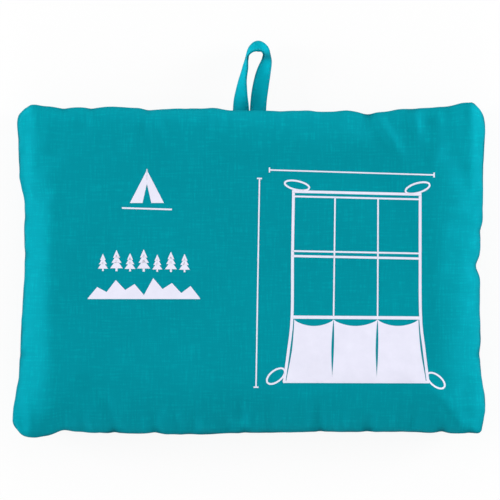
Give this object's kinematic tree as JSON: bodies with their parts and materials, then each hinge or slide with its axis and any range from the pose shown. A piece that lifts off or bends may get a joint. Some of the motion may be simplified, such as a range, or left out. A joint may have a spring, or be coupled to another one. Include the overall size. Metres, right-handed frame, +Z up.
{
  "type": "packed camping organizer",
  "caption": "Hanging camp organizer sheet with pocket rows, folded up inside its flat zipped cloth pouch with a hang loop.",
  "frame": {"origin": "on the flat underside of the back panel, below the middle of the pouch", "axes": "+Z up through the front panel, +X along the long side of the pouch, +Y towards the zip and the hang loop"},
  "size_m": [0.3288, 0.2748, 0.04],
  "materials": {
    "pouch_cloth": "woven polyester with a soft sheen",
    "loop_tape": "folded strip of the pouch cloth",
    "zip_tape": "knitted tape",
    "zip_coil": "nylon coil",
    "zip_metal": "die cast zinc alloy",
    "sheet_cloth": "woven polyester",
    "pocket_cloth": "woven polyester",
    "binding": "woven binding tape"
  },
  "bodies": {
    "pouch": {"pouch_front_panel": "pouch_cloth", "pouch_back_panel": "pouch_cloth", "zip_tape_upper": "zip_tape", "zip_tape_lower": "zip_tape", "zip_coil_upper": "zip_coil", "zip_coil_lower": "zip_coil", "zip_top_stop_upper": "zip_metal", "zip_top_stop_lower": "zip_metal", "zip_bottom_stop": "zip_metal", "sheet_backing": "sheet_cloth", "sheet_top_band": "binding", "side_binding_left": "binding", "side_binding_right": "binding", "bottom_binding": "binding", "upper_pocket_cloth": "pocket_cloth", "upper_pocket_hem": "binding", "upper_pocket_foot_tape": "binding", "middle_pocket_cloth": "pocket_cloth", "middle_pocket_hem": "binding", "middle_pocket_foot_tape": "binding", "lower_pocket_left": "pocket_cloth", "lower_pocket_centre": "pocket_cloth", "lower_pocket_right": "pocket_cloth", "lower_pocket_hem_left": "binding", "lower_pocket_hem_centre": "binding", "lower_pocket_hem_right": "binding", "corner_loop_top_left": "binding", "corner_loop_top_right": "binding", "corner_loop_bottom_left": "binding", "corner_loop_bottom_right": "binding"},
    "loop": {"hang_loop": "loop_tape"},
    "slider": {"zip_slider": "zip_metal"},
    "pull": {"zip_pull_tab": "zip_metal"}
  },
  "joints": [
    {"name": "loop_fold", "type": "hinge", "parent": "pouch", "child": "loop", "pos_m": [0, 0.1102, 0.012], "axis": [1, 0, 0], "range_deg": [-8, 60], "stiffness_Nm_per_rad": 0.02},
    {"name": "zip_slide", "type": "slide", "parent": "pouch", "child": "slider", "axis": [-1, 0, 0], "range_m": [0, 0.27]},
    {"name": "pull_swing", "type": "hinge", "parent": "slider", "child": "pull", "pos_m": [0.14402, 0.11122, 0.019], "axis": [0, 0, -1], "range_deg": [0, 135]}
  ]
}
